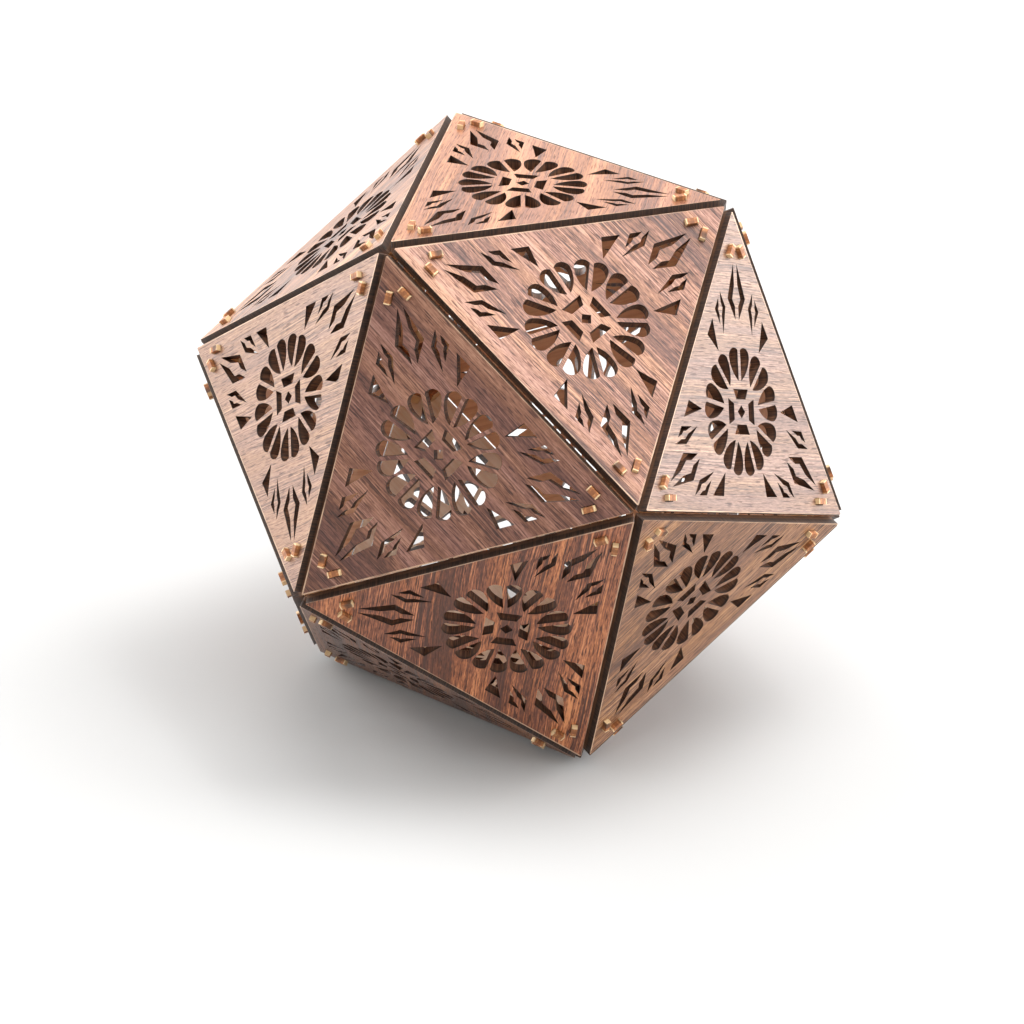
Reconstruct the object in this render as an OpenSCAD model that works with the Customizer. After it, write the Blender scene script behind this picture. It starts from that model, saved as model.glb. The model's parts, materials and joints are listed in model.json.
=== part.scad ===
// Hollow icosahedron ball of twenty pierced triangular panels.
// The panels push onto the prongs of small chevron connectors, two along each seam.
// Millimetres. +Z is up and the origin is under the middle of the ball, on the surface it stands on.
// The ball stands on one panel's prong tips, with the opposite panel level on top.

/* [Ball] */
// Edge of the icosahedron that the panels' inner faces lie on
edge_len = 90; // [70:1:140]

/* [Panels] */
// Thickness of a panel
panel_t = 3; // [2:0.1:4]
// Distance that a panel stays back from each ideal edge, in its own plane
edge_gap = 0.17; // [0.1:0.01:0.4]
// How far each panel's three corners are blunted
corner_blunt = 0.3; // [0.1:0.1:1]

/* [Connectors] */
// Thickness of a connector, along the seam
connector_t = 3.4; // [2.4:0.1:3.8]
// Distance from the middle of a seam to each of its two connectors
connector_pos = 34.5; // [30:0.5:35]
// Length of a connector's arm along the panel's inner face
arm_len = 4.8; // [4.5:0.1:4.9]
// Depth of a connector's arm below the panel's inner face
arm_depth = 4; // [2.5:0.5:6]
// Width of a prong
prong_w = 1.5; // [1:0.1:1.8]
// Distance from the ideal edge to the middle of a prong
prong_pos = 3.5; // [3.4:0.1:3.8]
// How far a prong's tip stands out of the panel's outer face
prong_out = 1.2; // [0.5:0.1:2.5]

/* [Fits] */
// Clearance between a prong's broad sides and the ends of its slot
slot_end_play = 0.09; // [0.05:0.01:0.3]
// Clearance between a prong's narrow sides and the sides of its slot
slot_side_play = 0.2; // [0.05:0.05:0.3]
// Clearance between a connector's shoulders and a panel's inner face
shoulder_play = 0.05; // [0.02:0.01:0.2]

/* [Rosette] */
// Number of petals
petals = 9; // [6:1:9]
// Bridge of wood between a petal's two halves
petal_bridge = 1.1; // [0.8:0.1:1.6]
// Radius of a petal's long side
petal_r = 8.7; // [8:0.1:9]
// Radius of a petal's rounded outer end
petal_tip_r = 2.4; // [1.6:0.1:2.6]

/* [Hidden] */
$fn = 64;
phi = (1 + sqrt(5)) / 2;

// Distances in an icosahedron that stands on a face
face_dist = edge_len * phi * phi / (2 * sqrt(3));
cap_r = edge_len / sqrt(3);
waist_r = phi * cap_r;
waist_z = face_dist / pow(phi, 3);
centre_z = face_dist + panel_t + prong_out;

// Half of the angle by which two neighbouring panels' normals differ
fold = asin(1 / (sqrt(3) * phi));

// Edge of a panel, and the edge length that the piercing's sizes below are given for
panel_edge = edge_len - 2 * sqrt(3) * edge_gap;
pattern_edge = 90;
pattern_scale = edge_len / pattern_edge;

// Centre of the arc of a petal's long side, and the direction of its rounded end
petal_centre = [-4, 15.3];
petal_lean = -11.5;

// Centre square: the pierced trapezoids' outer and inner sides, and the pierced diamond
square_outer = [3.35, 5.8];
square_inner = [2.1, 3.25];
diamond_half = 1.7;

// Large split kite by each corner: top, side and bottom of its outline and of its island
big_kite = [[0, 40.3], [4, 29], [0, 22.2]];
big_island = [[0, 35], [1.85, 28.9], [0, 25.7]];
big_band = 1.5;

// Small split kites beside each large one: left, top, right and bottom
small_kite = [[5.15, 26.6], [7.4, 30.6], [10, 26], [6.55, 19.7]];
small_island = [[6.5, 26.4], [7.6, 28.5], [8.55, 25.85], [7.25, 23.4]];
small_band = 1;
small_band_len = 13;
small_band_foot = [7.1, 19.7];
small_band_lean = -4.5;

// Plain triangle outside each small kite
dart = [[11.35, 23.6], [13.9, 19.3], [9.2, 15.3]];

// Slot that takes a prong
slot_l = connector_t + 2 * slot_end_play;
slot_w = prong_w + 2 * slot_side_play;
slot_y = edge_len / (2 * sqrt(3)) - prong_pos;

// The icosahedron's twelve corners, in rings of three from the top down
function ring(r, z, azimuth) = [for (k = [0:2]) [r * cos(azimuth + 120 * k), r * sin(azimuth + 120 * k), z]];
corners = concat(
    ring(cap_r, face_dist, -150),
    ring(waist_r, waist_z, -90),
    ring(waist_r, -waist_z, -150),
    ring(cap_r, -face_dist, -90)
);

// The corners of each panel, by tier. The centre square is turned towards the first one.
tier_names = ["top", "upper", "shoulder", "waist", "lower", "bottom"];
tiers = [
    [[1, 0, 2]],
    [[1, 0, 3], [4, 1, 2], [0, 2, 5]],
    [[6, 0, 3], [1, 3, 7], [4, 1, 7], [2, 4, 8], [8, 2, 5], [6, 0, 5]],
    [[6, 3, 9], [3, 9, 7], [10, 4, 7], [4, 8, 10], [11, 5, 8], [5, 6, 11]],
    [[9, 6, 11], [7, 9, 10], [11, 8, 10]],
    [[9, 10, 11]]
];
faces = [for (tier = tiers) each tier];
face_tier = [for (t = [0:len(tiers) - 1]) each [for (face = tiers[t]) t]];
panel_names = [
    for (t = [0:len(tiers) - 1]) for (n = [1:len(tiers[t])])
        len(tiers[t]) == 1 ? str(tier_names[t], "_panel") : str(tier_names[t], "_panel_", n)
];

// The seams, each between two panels that share two corners, grouped by the tiers they join
seam_kinds = [
    ["top", 0, 1], ["upper", 1, 2], ["shoulder", 2, 2], ["belt", 2, 3],
    ["waist", 3, 3], ["lower", 3, 4], ["bottom", 4, 5]
];
function shared(a, b) = [for (p = faces[a]) for (q = faces[b]) if (p == q) p];
function seams_between(s, t) = [
    for (a = [0:len(faces) - 1]) for (b = [a + 1:1:len(faces) - 1])
        if (face_tier[a] == s && face_tier[b] == t && len(shared(a, b)) == 2) shared(a, b)
];
seams = [for (kind = seam_kinds) each seams_between(kind[1], kind[2])];
seam_names = [
    for (kind = seam_kinds) for (n = [1:len(seams_between(kind[1], kind[2]))])
        str(kind[0], "_connectors_", n)
];

function unit(v) = v / norm(v);

// Places its children at a point, with their X, Y and Z along three directions of the ball
module at_frame(origin, x, y, z) {
    translate([0, 0, centre_z])
        multmatrix([
            [x[0], y[0], z[0], origin[0]],
            [x[1], y[1], z[1], origin[1]],
            [x[2], y[2], z[2], origin[2]]
        ])
            children();
}

// One petal's right half: a disc's edge outside, rounded at the outer end, straight along the bridge
module half_petal() {
    tip = petal_centre + (petal_r - petal_tip_r) * [cos(petal_lean), sin(petal_lean)];
    intersection() {
        translate(petal_centre) circle(petal_r);
        translate([petal_bridge / 2, 0]) square(2 * petal_r);
        union() {
            translate(tip) circle(petal_tip_r);
            translate(petal_centre)
                rotate(petal_lean)
                    translate([0, -2 * petal_r])
                        square(2 * petal_r);
        }
    }
}

module rosette() {
    for (k = [0:petals - 1])
        rotate(k * 360 / petals) {
            half_petal();
            mirror([1, 0]) half_petal();
        }
}

module centre_square() {
    a = square_outer;
    b = square_inner;
    for (k = [0:3])
        rotate(90 * k)
            polygon([[-a[0], a[1]], a, b, [-b[0], b[1]]]);
    rotate(45) square(sqrt(2) * diamond_half, center = true);
}

// A kite from its top, right side and bottom
module symmetric_kite(points) {
    polygon([points[0], points[1], points[2], [-points[1][0], points[1][1]]]);
}

module big_split_kite() {
    difference() {
        symmetric_kite(big_kite);
        symmetric_kite(big_island);
        translate([-big_band / 2, 0]) square([big_band, panel_edge]);
    }
}

module small_split_kite() {
    difference() {
        polygon(small_kite);
        polygon(small_island);
        translate(small_band_foot)
            rotate(small_band_lean)
                translate([-small_band / 2, -small_band])
                    square([small_band, small_band_len + small_band]);
    }
}

module corner_group() {
    big_split_kite();
    for (side = [0, 1])
        mirror([side, 0]) {
            small_split_kite();
            polygon(dart);
        }
}

module piercing() {
    scale(pattern_scale) {
        rosette();
        centre_square();
        for (k = [0:2])
            rotate(120 * k) corner_group();
    }
}

module slots() {
    for (k = [0:2])
        rotate(120 * k)
            for (side = [-1, 1])
                translate([side * connector_pos * pattern_scale, -slot_y])
                    square([slot_l, slot_w], center = true);
}

// A triangle with one corner on +Y and its corners cut a little short
module panel_outline() {
    intersection() {
        circle(panel_edge / sqrt(3), $fn = 3);
        rotate(60) circle(2 * (panel_edge / sqrt(3) - corner_blunt), $fn = 3);
    }
}

module panel_blank() {
    rotate(90) panel_outline();
}

module panel() {
    linear_extrude(panel_t)
        difference() {
            panel_blank();
            piercing();
            slots();
        }
}

// Drawn with the first corner on +Y and the outer face upwards
module panel_on(face) {
    points = [for (k = face) corners[k]];
    middle = (points[0] + points[1] + points[2]) / 3;
    out = unit(middle);
    up = unit(points[0] - middle);
    at_frame(middle, cross(up, out), up, out) panel();
}

// Outline of a connector across its seam: +Y points out of the ball, the ideal edge is the origin
function on_arm(x, y) = [x * cos(fold) + y * sin(fold), y * cos(fold) - x * sin(fold)];
function flip(p) = [-p[0], p[1]];

module connector_outline() {
    ridge = [0, -shoulder_play / cos(fold)];
    crotch = [0, -arm_depth / cos(fold)];
    shoulder = on_arm(arm_len, -shoulder_play);
    heel = on_arm(arm_len, -arm_depth);
    polygon([ridge, shoulder, heel, crotch, flip(heel), flip(shoulder)]);
    for (side = [0, 1])
        mirror([side, 0])
            rotate(-fold)
                translate([prong_pos - prong_w / 2, -arm_depth / 2])
                    square([prong_w, arm_depth / 2 + panel_t + prong_out]);
}

module connector() {
    linear_extrude(connector_t, center = true) connector_outline();
}

// The two connectors of one seam, near its two ends
module connectors_on(seam) {
    from = corners[seam[0]];
    to = corners[seam[1]];
    along = unit(to - from);
    out = unit(from + to);
    for (side = [-1, 1])
        at_frame((from + to) / 2 + side * connector_pos * pattern_scale * along, cross(out, along), out, along)
            connector();
}

module panel_node(n) {
    color("rosybrown") panel_on(faces[n]);
}

module connectors_node(n) {
    color("burlywood") connectors_on(seams[n]);
}

for (n = [0:len(faces) - 1])
    panel_node(n);
for (n = [0:len(seams) - 1])
    connectors_node(n);
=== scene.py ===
"""Looks for the pierced icosahedron ball: walnut panels, plywood connectors and a pale studio."""
import json
import math

import bpy
from mathutils import Matrix, Vector


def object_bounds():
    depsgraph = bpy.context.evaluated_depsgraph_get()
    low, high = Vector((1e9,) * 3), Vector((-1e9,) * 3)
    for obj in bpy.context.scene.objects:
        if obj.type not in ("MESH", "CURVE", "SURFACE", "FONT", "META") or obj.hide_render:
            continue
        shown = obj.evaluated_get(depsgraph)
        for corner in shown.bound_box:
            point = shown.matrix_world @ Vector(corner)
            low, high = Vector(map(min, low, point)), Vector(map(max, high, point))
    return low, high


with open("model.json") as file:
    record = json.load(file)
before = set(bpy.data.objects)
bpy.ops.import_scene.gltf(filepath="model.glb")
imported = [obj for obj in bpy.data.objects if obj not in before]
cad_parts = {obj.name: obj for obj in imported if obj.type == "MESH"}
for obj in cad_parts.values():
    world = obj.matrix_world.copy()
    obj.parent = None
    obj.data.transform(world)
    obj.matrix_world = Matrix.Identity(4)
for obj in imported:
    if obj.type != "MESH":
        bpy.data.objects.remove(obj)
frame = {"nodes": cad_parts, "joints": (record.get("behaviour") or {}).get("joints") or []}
cad_low, cad_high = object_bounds()

MM = 0.001
UP = Vector((0, 0, 1))
BALL = (cad_low + cad_high) / 2
PANELS = {joint["child"]: Vector(joint["axis"]).normalized() for joint in frame["joints"]}
CONNECTORS = [name for name in sorted(frame["nodes"]) if name not in PANELS]

# Height of the wood's bumps, in metres, and how deep a face's own finish reaches, in millimetres
BUMP_HEIGHT = 0.05 * MM
SKIN = 0.02


# ---------------------------------------------------------------- node helpers

class Graph:
    """A material's node tree, with short calls that return output sockets."""

    def __init__(self, name):
        self.material = bpy.data.materials.new(name)
        self.material.use_nodes = True
        self.tree = self.material.node_tree
        self.shader = self.tree.nodes["Principled BSDF"]

    def node(self, kind, inputs=(), **settings):
        made = self.tree.nodes.new("ShaderNode" + kind)
        for key, value in settings.items():
            setattr(made, key, value)
        for key, value in dict(inputs).items():
            self.feed(made.inputs[key], value)
        return made

    def feed(self, socket, value):
        if isinstance(value, bpy.types.NodeSocket):
            self.tree.links.new(value, socket)
        else:
            socket.default_value = value

    def math(self, operation, a, b=0.0, c=0.0, clamp=False):
        return self.node("Math", {0: a, 1: b, 2: c}, operation=operation, use_clamp=clamp).outputs[0]

    def swing(self, value, weight):
        """A noise's distance from its middle value, times a weight."""
        return self.math("MULTIPLY", self.math("SUBTRACT", value, 0.5), weight)

    def step(self, value, low, high, out_low=0.0, out_high=1.0):
        """Runs smoothly from out_low to out_high as value goes from low to high."""
        inputs = {"Value": value, "From Min": low, "From Max": high, "To Min": out_low, "To Max": out_high}
        return self.node("MapRange", inputs, interpolation_type="SMOOTHSTEP").outputs["Result"]

    def mix(self, factor, a, b, blend="MIX"):
        made = self.node("Mix", data_type="RGBA", blend_type=blend, clamp_factor=True)
        for socket, value in zip((made.inputs[0], made.inputs[6], made.inputs[7]), (factor, a, b)):
            self.feed(socket, value)
        return made.outputs[2]

    def ramp(self, factor, stops):
        made = self.node("ValToRGB", {"Fac": factor})
        elements = made.color_ramp.elements
        while len(elements) < len(stops):
            elements.new(1.0)
        for element, (place, colour) in zip(elements, stops):
            element.position = place
            element.color = colour
        return made.outputs["Color"]

    def mapping(self, vector, scale=(1, 1, 1), rotation=(0, 0, 0), location=(0, 0, 0)):
        inputs = {"Vector": vector, "Scale": scale, "Rotation": rotation, "Location": location}
        return self.node("Mapping", inputs, vector_type="POINT").outputs[0]

    def noise(self, vector, scale, detail=2.0, roughness=0.5, distortion=0.0):
        """Perlin noise, with scale as features per millimetre in each direction."""
        placed = self.mapping(vector, scale=scale)
        inputs = {"Vector": placed, "Scale": 1.0, "Detail": detail, "Roughness": roughness,
                  "Distortion": distortion}
        return self.node("TexNoise", inputs).outputs["Fac"]

    def bump(self, height, strength):
        made = self.node("Bump", {"Height": height, "Strength": strength, "Distance": BUMP_HEIGHT})
        self.feed(self.shader.inputs["Normal"], made.outputs[0])

    def frame_coordinates(self, rows, origin):
        """Millimetres along three directions of the ball, from a point of it."""
        turn = Matrix(rows)
        shift = -(turn @ origin) / MM
        position = self.node("TexCoord").outputs["Object"]
        return self.mapping(position, scale=(1 / MM,) * 3, rotation=turn.to_euler(), location=shift)

    def split(self, vector):
        return self.node("SeparateXYZ", {0: vector}).outputs


# ---------------------------------------------------------------- walnut panels

PANEL_T = 3.0

# Two points of a panel that are further apart than this, in metres, aren't at the same corner
CORNERS_APART = 20 * MM

# Each panel's grain runs along one of its edges: 0 is the level one, 1 and 2 are the slanted ones.
GRAIN_EDGE = {
    "top_panel": 1, "upper_panel_1": 2, "upper_panel_3": 2,
    "shoulder_panel_1": 2, "shoulder_panel_2": 2, "shoulder_panel_6": 0,
    "waist_panel_1": 1, "waist_panel_2": 0, "lower_panel_1": 1,
}

# Walnut from its darkest lines to its palest streaks, by a tone from 0 to 1
WALNUT_TONES = [
    (0.00, (0.056, 0.022, 0.014, 1)),
    (0.30, (0.122, 0.046, 0.028, 1)),
    (0.50, (0.235, 0.099, 0.058, 1)),
    (0.66, (0.350, 0.165, 0.104, 1)),
    (0.90, (0.520, 0.285, 0.190, 1)),
]
MIDDLE_TONE = 0.5
ROSY = (0.960, 0.970, 1.060, 1)
GOLDEN = (1.040, 1.030, 0.920, 1)

# The ball's inner faces. Their colours are painted light: paler than the wood, for the light inside the
# ball, and paler still on the lowest panels, where light falls through the piercing.
INSIDE = (0.880, 0.560, 0.360, 1)
INSIDE_DARK = (0.700, 0.390, 0.225, 1)
INSIDE_PAINTED_LIT = (0.950, 0.800, 0.640, 1)
INSIDE_PAINTED_LIT_DARK = (0.860, 0.660, 0.480, 1)
PAINTED_LIT_TIERS = ("lower", "bottom")

# The laser's burn on the walls of the piercing and on a panel's own outline
CHAR = (0.016, 0.009, 0.007, 1)
BURNT = (0.060, 0.024, 0.013, 1)
SCORCHED = (0.260, 0.115, 0.052, 1)
RIM_CHAR = (0.030, 0.017, 0.012, 1)
RIM_BURNT = (0.105, 0.050, 0.028, 1)
RIM_TOASTED = (0.240, 0.115, 0.060, 1)
# A pale line along a panel's outline: painted edge highlight, partly worn veneer
EDGE_HIGHLIGHT_AND_WEAR = (0.640, 0.420, 0.270, 1)

# How strong a panel's fine and broad figure is, and the tint of its wood beside the usual walnut. The
# lowest panel's dark tint is painted shade.
PLAIN = (1.0, 1.0, (1.00, 1.00, 1.00, 1))
FIGURE = {
    "top_panel": (0.95, 0.9, (1.11, 0.97, 0.73, 1)),
    "upper_panel_1": (1.80, 1.3, (1.08, 1.05, 1.02, 1)),
    "upper_panel_3": (1.45, 1.4, (0.93, 0.84, 0.57, 1)),
    "shoulder_panel_1": (1.40, 1.1, (0.74, 0.69, 0.72, 1)),
    "shoulder_panel_2": (1.15, 0.3, (0.95, 1.15, 1.20, 1)),
    "shoulder_panel_6": (1.10, 0.3, (1.11, 1.23, 1.10, 1)),
    "waist_panel_1": (2.20, 1.5, (1.29, 0.92, 0.58, 1)),
    "waist_panel_2": (1.80, 0.7, (1.03, 1.02, 0.72, 1)),
    # Painted shade: the lowest panel's tint is darkened for the shade under the ball
    "lower_panel_1": (1.10, 1.1, (0.62, 0.46, 0.22, 1)),
}

# Noise along and across the grain. Every panel is cut from another place of the same veneer.
CUT_STEP = (37.0, 91.0)
CUT_START = 13.0
WAVES = {"scale": (0.010, 0.035, 0.0), "detail": 1.0}
WAVE_HEIGHT = 9.0
BANDS = {"scale": (0.004, 0.070, 0.0), "detail": 2.0, "roughness": 0.55}
FLAMES = {"scale": (0.009, 0.22, 0.0), "detail": 3.0, "roughness": 0.6, "distortion": 0.2}
STREAKS = {"scale": (0.012, 1.1, 0.0), "detail": 3.0, "roughness": 0.65}
FIBRES = {"scale": (0.030, 2.8, 0.0), "detail": 2.0, "roughness": 0.6}
MOTTLE = {"scale": (0.45, 2.2, 0.0), "detail": 2.0, "roughness": 0.6}
PORES = {"scale": (0.22, 2.6, 0.0), "detail": 1.0, "roughness": 0.4}
LINED_PLACES = {"scale": (0.022, 0.11, 0.0), "detail": 1.0}
WARM_PLACES = {"scale": (0.012, 0.16, 0.0), "detail": 2.0}
INNER_GRAIN = {"scale": (0.02, 0.7, 0.0), "detail": 3.0, "roughness": 0.6}

# Noise along a panel's level and upward directions and through its thickness
STRIPES = {"scale": (2.6, 2.6, 0.15), "detail": 2.0, "roughness": 0.6}
SOOT = {"scale": (0.12, 0.12, 0.25), "detail": 2.0}

# How far each layer of noise moves the tone
STREAK_WEIGHT = 0.65
FIBRE_WEIGHT = 0.75
BAND_WEIGHT = 0.9
FLAME_WEIGHT = 0.8
MOTTLE_WEIGHT = 0.45
PORE_WEIGHT = 0.22

# Steps in the noise: low, high, and the two results where they aren't 0 and 1
PORE_STEP = (0.57, 0.66)
LINED_STEP = (0.36, 0.64, 0.45, 1.35)
WARM_STEP = (0.38, 0.62)
INNER_STEP = (0.32, 0.62)
WALL_STRIPE_STEP = (0.35, 0.70)
WALL_SOOT_STEP = (0.40, 0.65, 0.0, 0.6)
RIM_STRIPE_STEP = (0.35, 0.75)
TOASTED_STEP = (0.35, 0.6, 0.3, 1.0)
EDGE_HIGHLIGHT_AND_WEAR_STEP = (0.35, 0.6, 0.25, 0.8)
FIBRE_ROUGHNESS_STEP = (0.2, 0.8, 0.42, 0.56)

# Steps in depth below the outer face, which is at 0, in millimetres
WALL_CHAR_DEPTH = (-1.3, -0.1, 0.0, 0.85)
TOASTED_DEPTH = (-2.1, -1.5, 0.75, 0.0)
OUTER_FACE_DEPTH = (-2 * SKIN, -SKIN)
INNER_FACE_DEPTH = (SKIN - PANEL_T, 2 * SKIN - PANEL_T, 1.0, 0.0)

# Steps in millimetres from a panel's middle towards a side. The panel ends at 25.8.
RIM_REACH = (25.4, 25.5)
LINE_REACH = (25.5, 25.7)

PORE_ROUGHNESS = 0.15
WALL_ROUGHNESS = 0.12
PORE_RELIEF = 1.2
PANEL_BUMP = 0.35
OUTER_COAT = 0.25
INNER_COAT = 0.80
COAT_ROUGHNESS = 0.35

# A panel that tilts less than this, as a sine, is level, and its level direction is the X axis
LEAST_TILT = 0.1


def panel_corners(name):
    """The three corners of a panel, in any order."""
    points = [v.co for v in frame["nodes"][name].data.vertices]
    middle = sum(points, Vector()) / len(points)
    corners = []
    for point in sorted(points, key=lambda p: -(p - middle).length):
        if all((point - other).length > CORNERS_APART for other in corners):
            corners.append(point)
        if len(corners) == 3:
            return corners


def edge_angles(corners, level, slope):
    """The directions of a panel's three edges in its own plane, as angles from level, sorted."""
    angles = []
    for k in range(3):
        edge = corners[k] - corners[k - 1]
        angles.append(math.atan2(edge.dot(slope), edge.dot(level)) % math.pi)
    return sorted(angles, key=lambda a: round(math.degrees(a)) % 180)


def panel_frame(name):
    """Level, up-slope and outward directions of a panel, and the middle of its outer face."""
    outward = PANELS[name]
    level = UP.cross(outward)
    level = level.normalized() if level.length > LEAST_TILT else Vector((1, 0, 0))
    slope = outward.cross(level)
    reach = max(v.co.dot(outward) for v in frame["nodes"][name].data.vertices)
    return level, slope, outward, BALL + outward * (reach - BALL.dot(outward))


def walnut_figure(g, flow, fibres, pore_mask, figure):
    """The outer veneer's colour: lines, bands, flames, mottle and pores."""
    fine, broad, tint = figure

    # The lines are strong in some places and faint in others
    lined = g.step(g.noise(flow, **LINED_PLACES), *LINED_STEP)
    streaks = g.swing(g.noise(flow, **STREAKS), STREAK_WEIGHT * fine)
    lines = g.math("ADD", streaks, g.swing(fibres, FIBRE_WEIGHT * fine))
    tone = g.math("ADD", MIDDLE_TONE, g.math("MULTIPLY", lines, lined))

    for layer, weight in (
        (BANDS, BAND_WEIGHT * broad),
        (FLAMES, FLAME_WEIGHT * broad),
        (MOTTLE, MOTTLE_WEIGHT * fine),
    ):
        tone = g.math("ADD", tone, g.swing(g.noise(flow, **layer), weight))
    tone = g.math("SUBTRACT", tone, g.math("MULTIPLY", pore_mask, PORE_WEIGHT * fine))
    colour = g.ramp(tone, WALNUT_TONES)
    warmth = g.step(g.noise(flow, **WARM_PLACES), *WARM_STEP)
    colour = g.mix(1.0, colour, g.mix(warmth, ROSY, GOLDEN), "MULTIPLY")
    return g.mix(1.0, colour, tint, "MULTIPLY")


def inner_face(g, grain, name):
    """The colour of the plain, smooth wood inside the ball, with painted light: paler overall, and paler
    still on the lowest panels.
    """
    # The lowest panels take the paler colours: painted light falling on their inner faces
    is_painted_lit = name.startswith(PAINTED_LIT_TIERS)
    dark, light = (INSIDE_PAINTED_LIT_DARK, INSIDE_PAINTED_LIT) if is_painted_lit else (INSIDE_DARK, INSIDE)
    return g.mix(g.step(g.noise(grain, **INNER_GRAIN), *INNER_STEP), dark, light)


def cut_walls(g, depth, reach, stripes, soot):
    """The colour of the laser-cut walls: striped through the thickness, charred at the outer edge."""
    wall = g.mix(g.step(stripes, *WALL_STRIPE_STEP), BURNT, SCORCHED)
    wall = g.mix(g.step(soot, *WALL_SOOT_STEP), wall, BURNT)
    wall = g.mix(g.step(depth, *WALL_CHAR_DEPTH), wall, CHAR)

    # The panel's own outline has a dark grey-brown wall, toasted browner in places on its inner half
    rim = g.mix(g.step(stripes, *RIM_STRIPE_STEP), RIM_CHAR, RIM_BURNT)
    toasted = g.math("MULTIPLY", g.step(depth, *TOASTED_DEPTH), g.step(soot, *TOASTED_STEP))
    rim = g.mix(toasted, rim, RIM_TOASTED)
    return g.mix(g.step(reach, *RIM_REACH), wall, rim)


def side_reach(g, local, level, slope, origin, corners):
    """How far a point is from the panel's middle, in millimetres, towards the side it is nearest to."""
    reach = 0.0
    for corner in corners:
        away = origin - corner
        side = Vector((away.dot(level), away.dot(slope), 0)).normalized()
        towards = g.node("VectorMath", {0: local, 1: side}, operation="DOT_PRODUCT").outputs["Value"]
        reach = g.math("MAXIMUM", towards, reach)
    return reach


def walnut(name, seed):
    """Figured walnut veneer outside, plain wood inside, laser-burnt walls between."""
    g = Graph("walnut_" + name)
    level, slope, outward, origin = panel_frame(name)
    corners = panel_corners(name)
    local = g.frame_coordinates((level, slope, outward), origin)
    depth = g.split(local)[2]
    reach = side_reach(g, local, level, slope, origin, corners)

    # Slow waves bend the grain, and the veneer's figure follows them
    angle = edge_angles(corners, level, slope)[GRAIN_EDGE.get(name, seed % 3)]
    cut = (CUT_STEP[0] * seed, CUT_STEP[1] * seed + CUT_START, 0)
    grain = g.mapping(local, rotation=(0, 0, -angle), location=cut)
    along, across, _ = g.split(grain)
    bent = g.math("MULTIPLY_ADD", g.noise(grain, **WAVES), WAVE_HEIGHT, across)
    flow = g.node("CombineXYZ", {0: along, 1: bent, 2: depth}).outputs[0]

    fibres = g.noise(flow, **FIBRES)
    pore_mask = g.step(g.noise(flow, **PORES), *PORE_STEP)
    stripes = g.noise(local, **STRIPES)
    soot = g.noise(local, **SOOT)
    is_outer = g.step(depth, *OUTER_FACE_DEPTH)
    is_inner = g.step(depth, *INNER_FACE_DEPTH)
    is_wall = g.math("SUBTRACT", 1.0, g.math("ADD", is_outer, is_inner))

    outer = walnut_figure(g, flow, fibres, pore_mask, FIGURE.get(name, PLAIN))

    # A pale line along the outline in places: a painted highlight on the edge, partly veneer worn paler by
    # handling
    edge_highlight_and_wear = g.math("MULTIPLY", g.step(reach, *LINE_REACH), g.step(soot, *EDGE_HIGHLIGHT_AND_WEAR_STEP))
    outer = g.mix(edge_highlight_and_wear, outer, EDGE_HIGHLIGHT_AND_WEAR)
    paint = g.mix(is_outer, cut_walls(g, depth, reach, stripes, soot), outer)
    g.feed(g.shader.inputs["Base Color"], g.mix(is_inner, paint, inner_face(g, grain, name)))

    rough = g.step(fibres, *FIBRE_ROUGHNESS_STEP)
    rough = g.math("ADD", rough, g.math("MULTIPLY", pore_mask, PORE_ROUGHNESS))
    rough = g.math("ADD", rough, g.math("MULTIPLY", is_wall, WALL_ROUGHNESS), clamp=True)
    g.feed(g.shader.inputs["Roughness"], rough)

    relief = g.math("SUBTRACT", fibres, g.math("MULTIPLY", pore_mask, PORE_RELIEF))
    relief = g.math("MULTIPLY", relief, is_outer)
    relief = g.math("ADD", relief, g.math("MULTIPLY", stripes, is_wall))
    g.bump(relief, PANEL_BUMP)
    g.feed(g.shader.inputs["Coat Weight"], g.step(is_inner, 0.0, 1.0, OUTER_COAT, INNER_COAT))
    g.shader.inputs["Coat Roughness"].default_value = COAT_ROUGHNESS
    return g.material


# ---------------------------------------------------------------- plywood connectors

CONNECTOR_T = 3.4
BIRCH = (0.860, 0.640, 0.370, 1)
BIRCH_DARK = (0.640, 0.400, 0.190, 1)
PLY_TOASTED = (0.540, 0.220, 0.075, 1)
PLY_BURNT = (0.250, 0.085, 0.028, 1)
PLY_CHAR = (0.035, 0.017, 0.010, 1)

# Noise along the seam, across it and outwards
FACE_FIBRES = {"scale": (2.5, 0.5, 0.12), "detail": 2.0}
SPECKS = {"scale": (1.3, 1.3, 1.3), "detail": 3.0, "roughness": 0.65}
CHARRED_PLACES = {"scale": (0.35, 0.35, 0.35), "detail": 2.0}
SPECK_STEP = (0.3, 0.7)
CHARRED_STEP = (0.52, 0.75, 0.0, 0.8)

# Steps in millimetres from a connector's middle plane: a burnt core ply, pale outer plies, and the faces
CORE_PLY = (0.55, 0.45, 0.0, 0.8)
OUTER_PLY = (1.30, 1.45, 0.0, 0.8)
PLY_FACE = (CONNECTOR_T / 2 - 2 * SKIN, CONNECTOR_T / 2 - SKIN)

PLY_ROUGHNESS = 0.6
PLY_BUMP = 0.4


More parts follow.
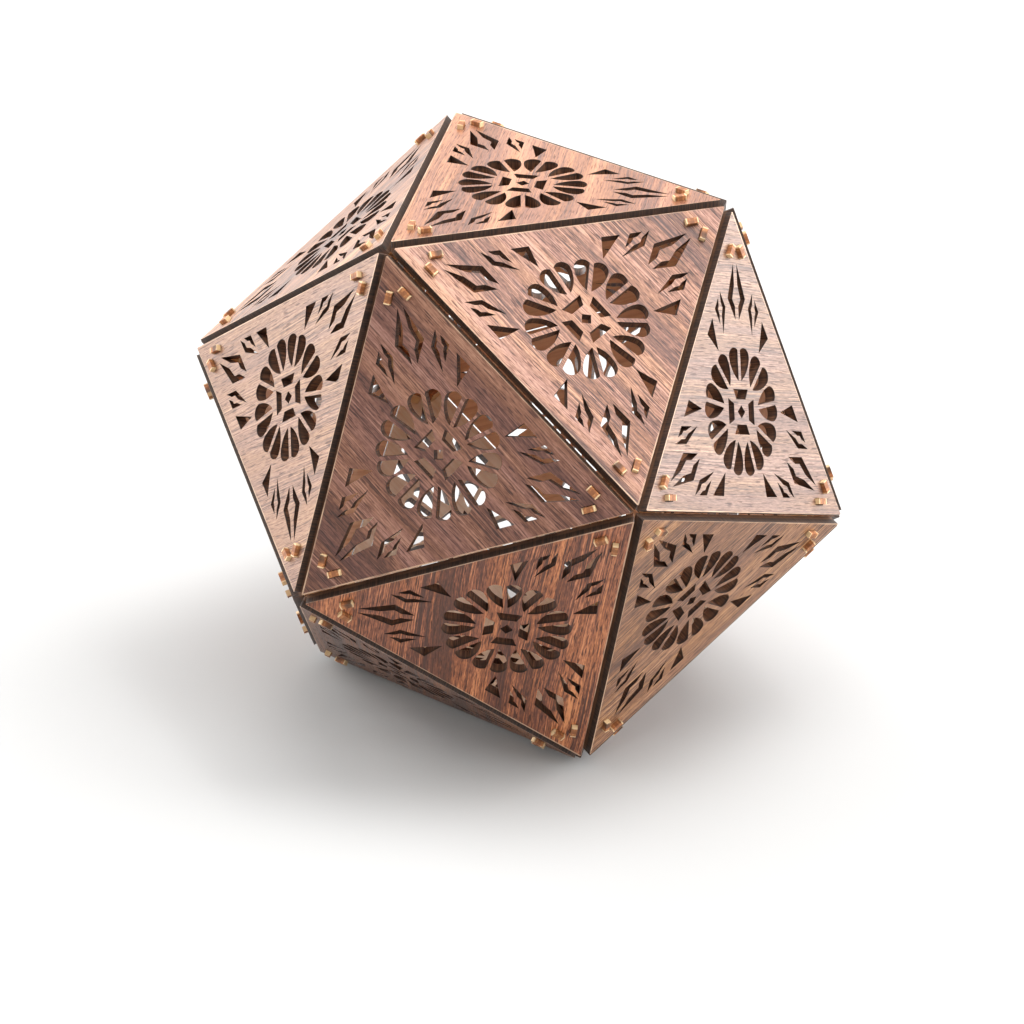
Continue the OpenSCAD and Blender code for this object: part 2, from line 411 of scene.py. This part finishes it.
def plywood(name):
    """Pale ply faces across the seam, and toasted edges that show the plies along it."""
    g = Graph("plywood_" + name)
    points = [v.co for v in frame["nodes"][name].data.vertices]
    middle = sum(points, Vector()) / len(points)
    outward = (middle - BALL).normalized()
    first, second = sorted(PANELS.values(), key=lambda n: -n.dot(outward))[:2]
    seam = first.cross(second).normalized()
    aside = outward.cross(seam)
    local = g.frame_coordinates((seam, aside, outward), middle)
    along = g.split(local)[0]

    # The node's two connectors stand at equal distances from the middle of the seam
    post = max((p - middle).dot(seam) for p in points) / MM - CONNECTOR_T / 2
    off_middle = g.math("ABSOLUTE", g.math("SUBTRACT", g.math("ABSOLUTE", along), post))

    face = g.mix(g.noise(local, **FACE_FIBRES), BIRCH_DARK, BIRCH)
    specks = g.noise(local, **SPECKS)
    edge = g.mix(g.step(specks, *SPECK_STEP), PLY_BURNT, PLY_TOASTED)
    edge = g.mix(g.step(off_middle, *CORE_PLY), edge, PLY_BURNT)
    edge = g.mix(g.step(off_middle, *OUTER_PLY), edge, BIRCH)
    edge = g.mix(g.step(g.noise(local, **CHARRED_PLACES), *CHARRED_STEP), edge, PLY_CHAR)
    g.feed(g.shader.inputs["Base Color"], g.mix(g.step(off_middle, *PLY_FACE), edge, face))
    g.shader.inputs["Roughness"].default_value = PLY_ROUGHNESS
    g.bump(specks, PLY_BUMP)
    return g.material


def dress(name, material):
    """Gives a CAD node its material."""
    for slot in frame["nodes"][name].material_slots:
        slot.link = "OBJECT"
        slot.material = material


for number, panel in enumerate(PANELS, start=1):
    dress(panel, walnut(panel, number))
for pair in CONNECTORS:
    dress(pair, plywood(pair))


# ---------------------------------------------------------------- studio

# The camera's place seen from the ball and the way it looks, in degrees, and its lens in millimetres
CAMERA_AZIMUTH = -20.633
CAMERA_ELEVATION = 25.398
CAMERA_DISTANCE = 1313.8 * MM
AIM_AZIMUTH = -20.579
AIM_ELEVATION = 26.317
CAMERA_ROLL = 1.118
LENS = 175.05
SENSOR_WIDTH = 36.0
CLIP_START = 0.05
CLIP_END = 50

# Azimuth and elevation in degrees, distance and size in metres, and radiance
SOFTBOXES = {
    "backdrop": (170, 12, 3.0, 3.2, 1.9),
    "back_left_softbox": (-135, 2, 1.5, 1.9, 5.9),
    "right_softbox": (88, 4, 1.5, 1.2, 9.0),
    "top_right_softbox": (80, 66, 1.4, 0.7, 7.6),
    "top_softbox": (0, 88, 1.4, 0.9, 3.9),
    "front_right_softbox": (35, 30, 1.6, 1.0, 2.2),
}
WORLD_COLOUR = (1.0, 1.0, 1.0, 1)
WORLD_STRENGTH = 0.64

FLOOR_HALF = 12.0
FLOOR_DARK = (0.475, 0.475, 0.470, 1)
FLOOR_LIGHT = (0.495, 0.495, 0.490, 1)
FLOOR_CLOUDS = {"Scale": 3.0, "Detail": 2.0}
FLOOR_ROUGHNESS = 0.8


def direction(azimuth, elevation):
    """The way from the ball to a place round it; azimuth 0 is in front, at -Y, and 90 is at +X."""
    turn = math.radians(azimuth)
    rise = math.radians(elevation)
    return Vector((math.sin(turn) * math.cos(rise), -math.cos(turn) * math.cos(rise), math.sin(rise)))


def add_camera():
    data = bpy.data.cameras.new("camera")
    data.lens = LENS
    data.sensor_width = SENSOR_WIDTH
    data.clip_start = CLIP_START
    data.clip_end = CLIP_END
    camera = bpy.data.objects.new("camera", data)
    bpy.context.scene.collection.objects.link(camera)
    camera.location = BALL + direction(CAMERA_AZIMUTH, CAMERA_ELEVATION) * CAMERA_DISTANCE
    look = -direction(AIM_AZIMUTH, AIM_ELEVATION)
    roll = Matrix.Rotation(math.radians(CAMERA_ROLL), 3, "Z")
    camera.rotation_euler = (look.to_track_quat("-Z", "Y").to_matrix() @ roll).to_euler()
    bpy.context.scene.camera = camera


def add_softbox(name, azimuth, elevation, distance, size, radiance):
    """A square white area light that faces the ball and gives the same radiance at any size."""
    data = bpy.data.lights.new(name, "AREA")
    data.size = size
    data.energy = radiance * math.pi * size * size
    lamp = bpy.data.objects.new(name, data)
    bpy.context.scene.collection.objects.link(lamp)
    out = direction(azimuth, elevation)
    lamp.location = BALL + out * distance
    lamp.rotation_euler = out.to_track_quat("Z", "Y").to_euler()
    lamp.visible_camera = False


def add_floor():
    low, high = -FLOOR_HALF, FLOOR_HALF
    corners = [(low, low, 0), (high, low, 0), (high, high, 0), (low, high, 0)]
    mesh = bpy.data.meshes.new("floor")
    mesh.from_pydata(corners, [], [(0, 1, 2, 3)])
    floor = bpy.data.objects.new("floor", mesh)
    bpy.context.scene.collection.objects.link(floor)
    g = Graph("pale_floor")
    position = g.node("TexCoord").outputs["Object"]
    clouds = g.node("TexNoise", {"Vector": position, **FLOOR_CLOUDS}).outputs["Fac"]
    g.feed(g.shader.inputs["Base Color"], g.mix(clouds, FLOOR_DARK, FLOOR_LIGHT))
    g.shader.inputs["Roughness"].default_value = FLOOR_ROUGHNESS
    mesh.materials.append(g.material)


def add_world():
    world = bpy.data.worlds.new("studio")
    world.use_nodes = True
    background = world.node_tree.nodes["Background"]
    background.inputs["Color"].default_value = WORLD_COLOUR
    background.inputs["Strength"].default_value = WORLD_STRENGTH
    bpy.context.scene.world = world


add_camera()
add_floor()
add_world()
for box, settings in SOFTBOXES.items():
    add_softbox(box, *settings)
bpy.context.scene.view_settings.view_transform = "Standard"
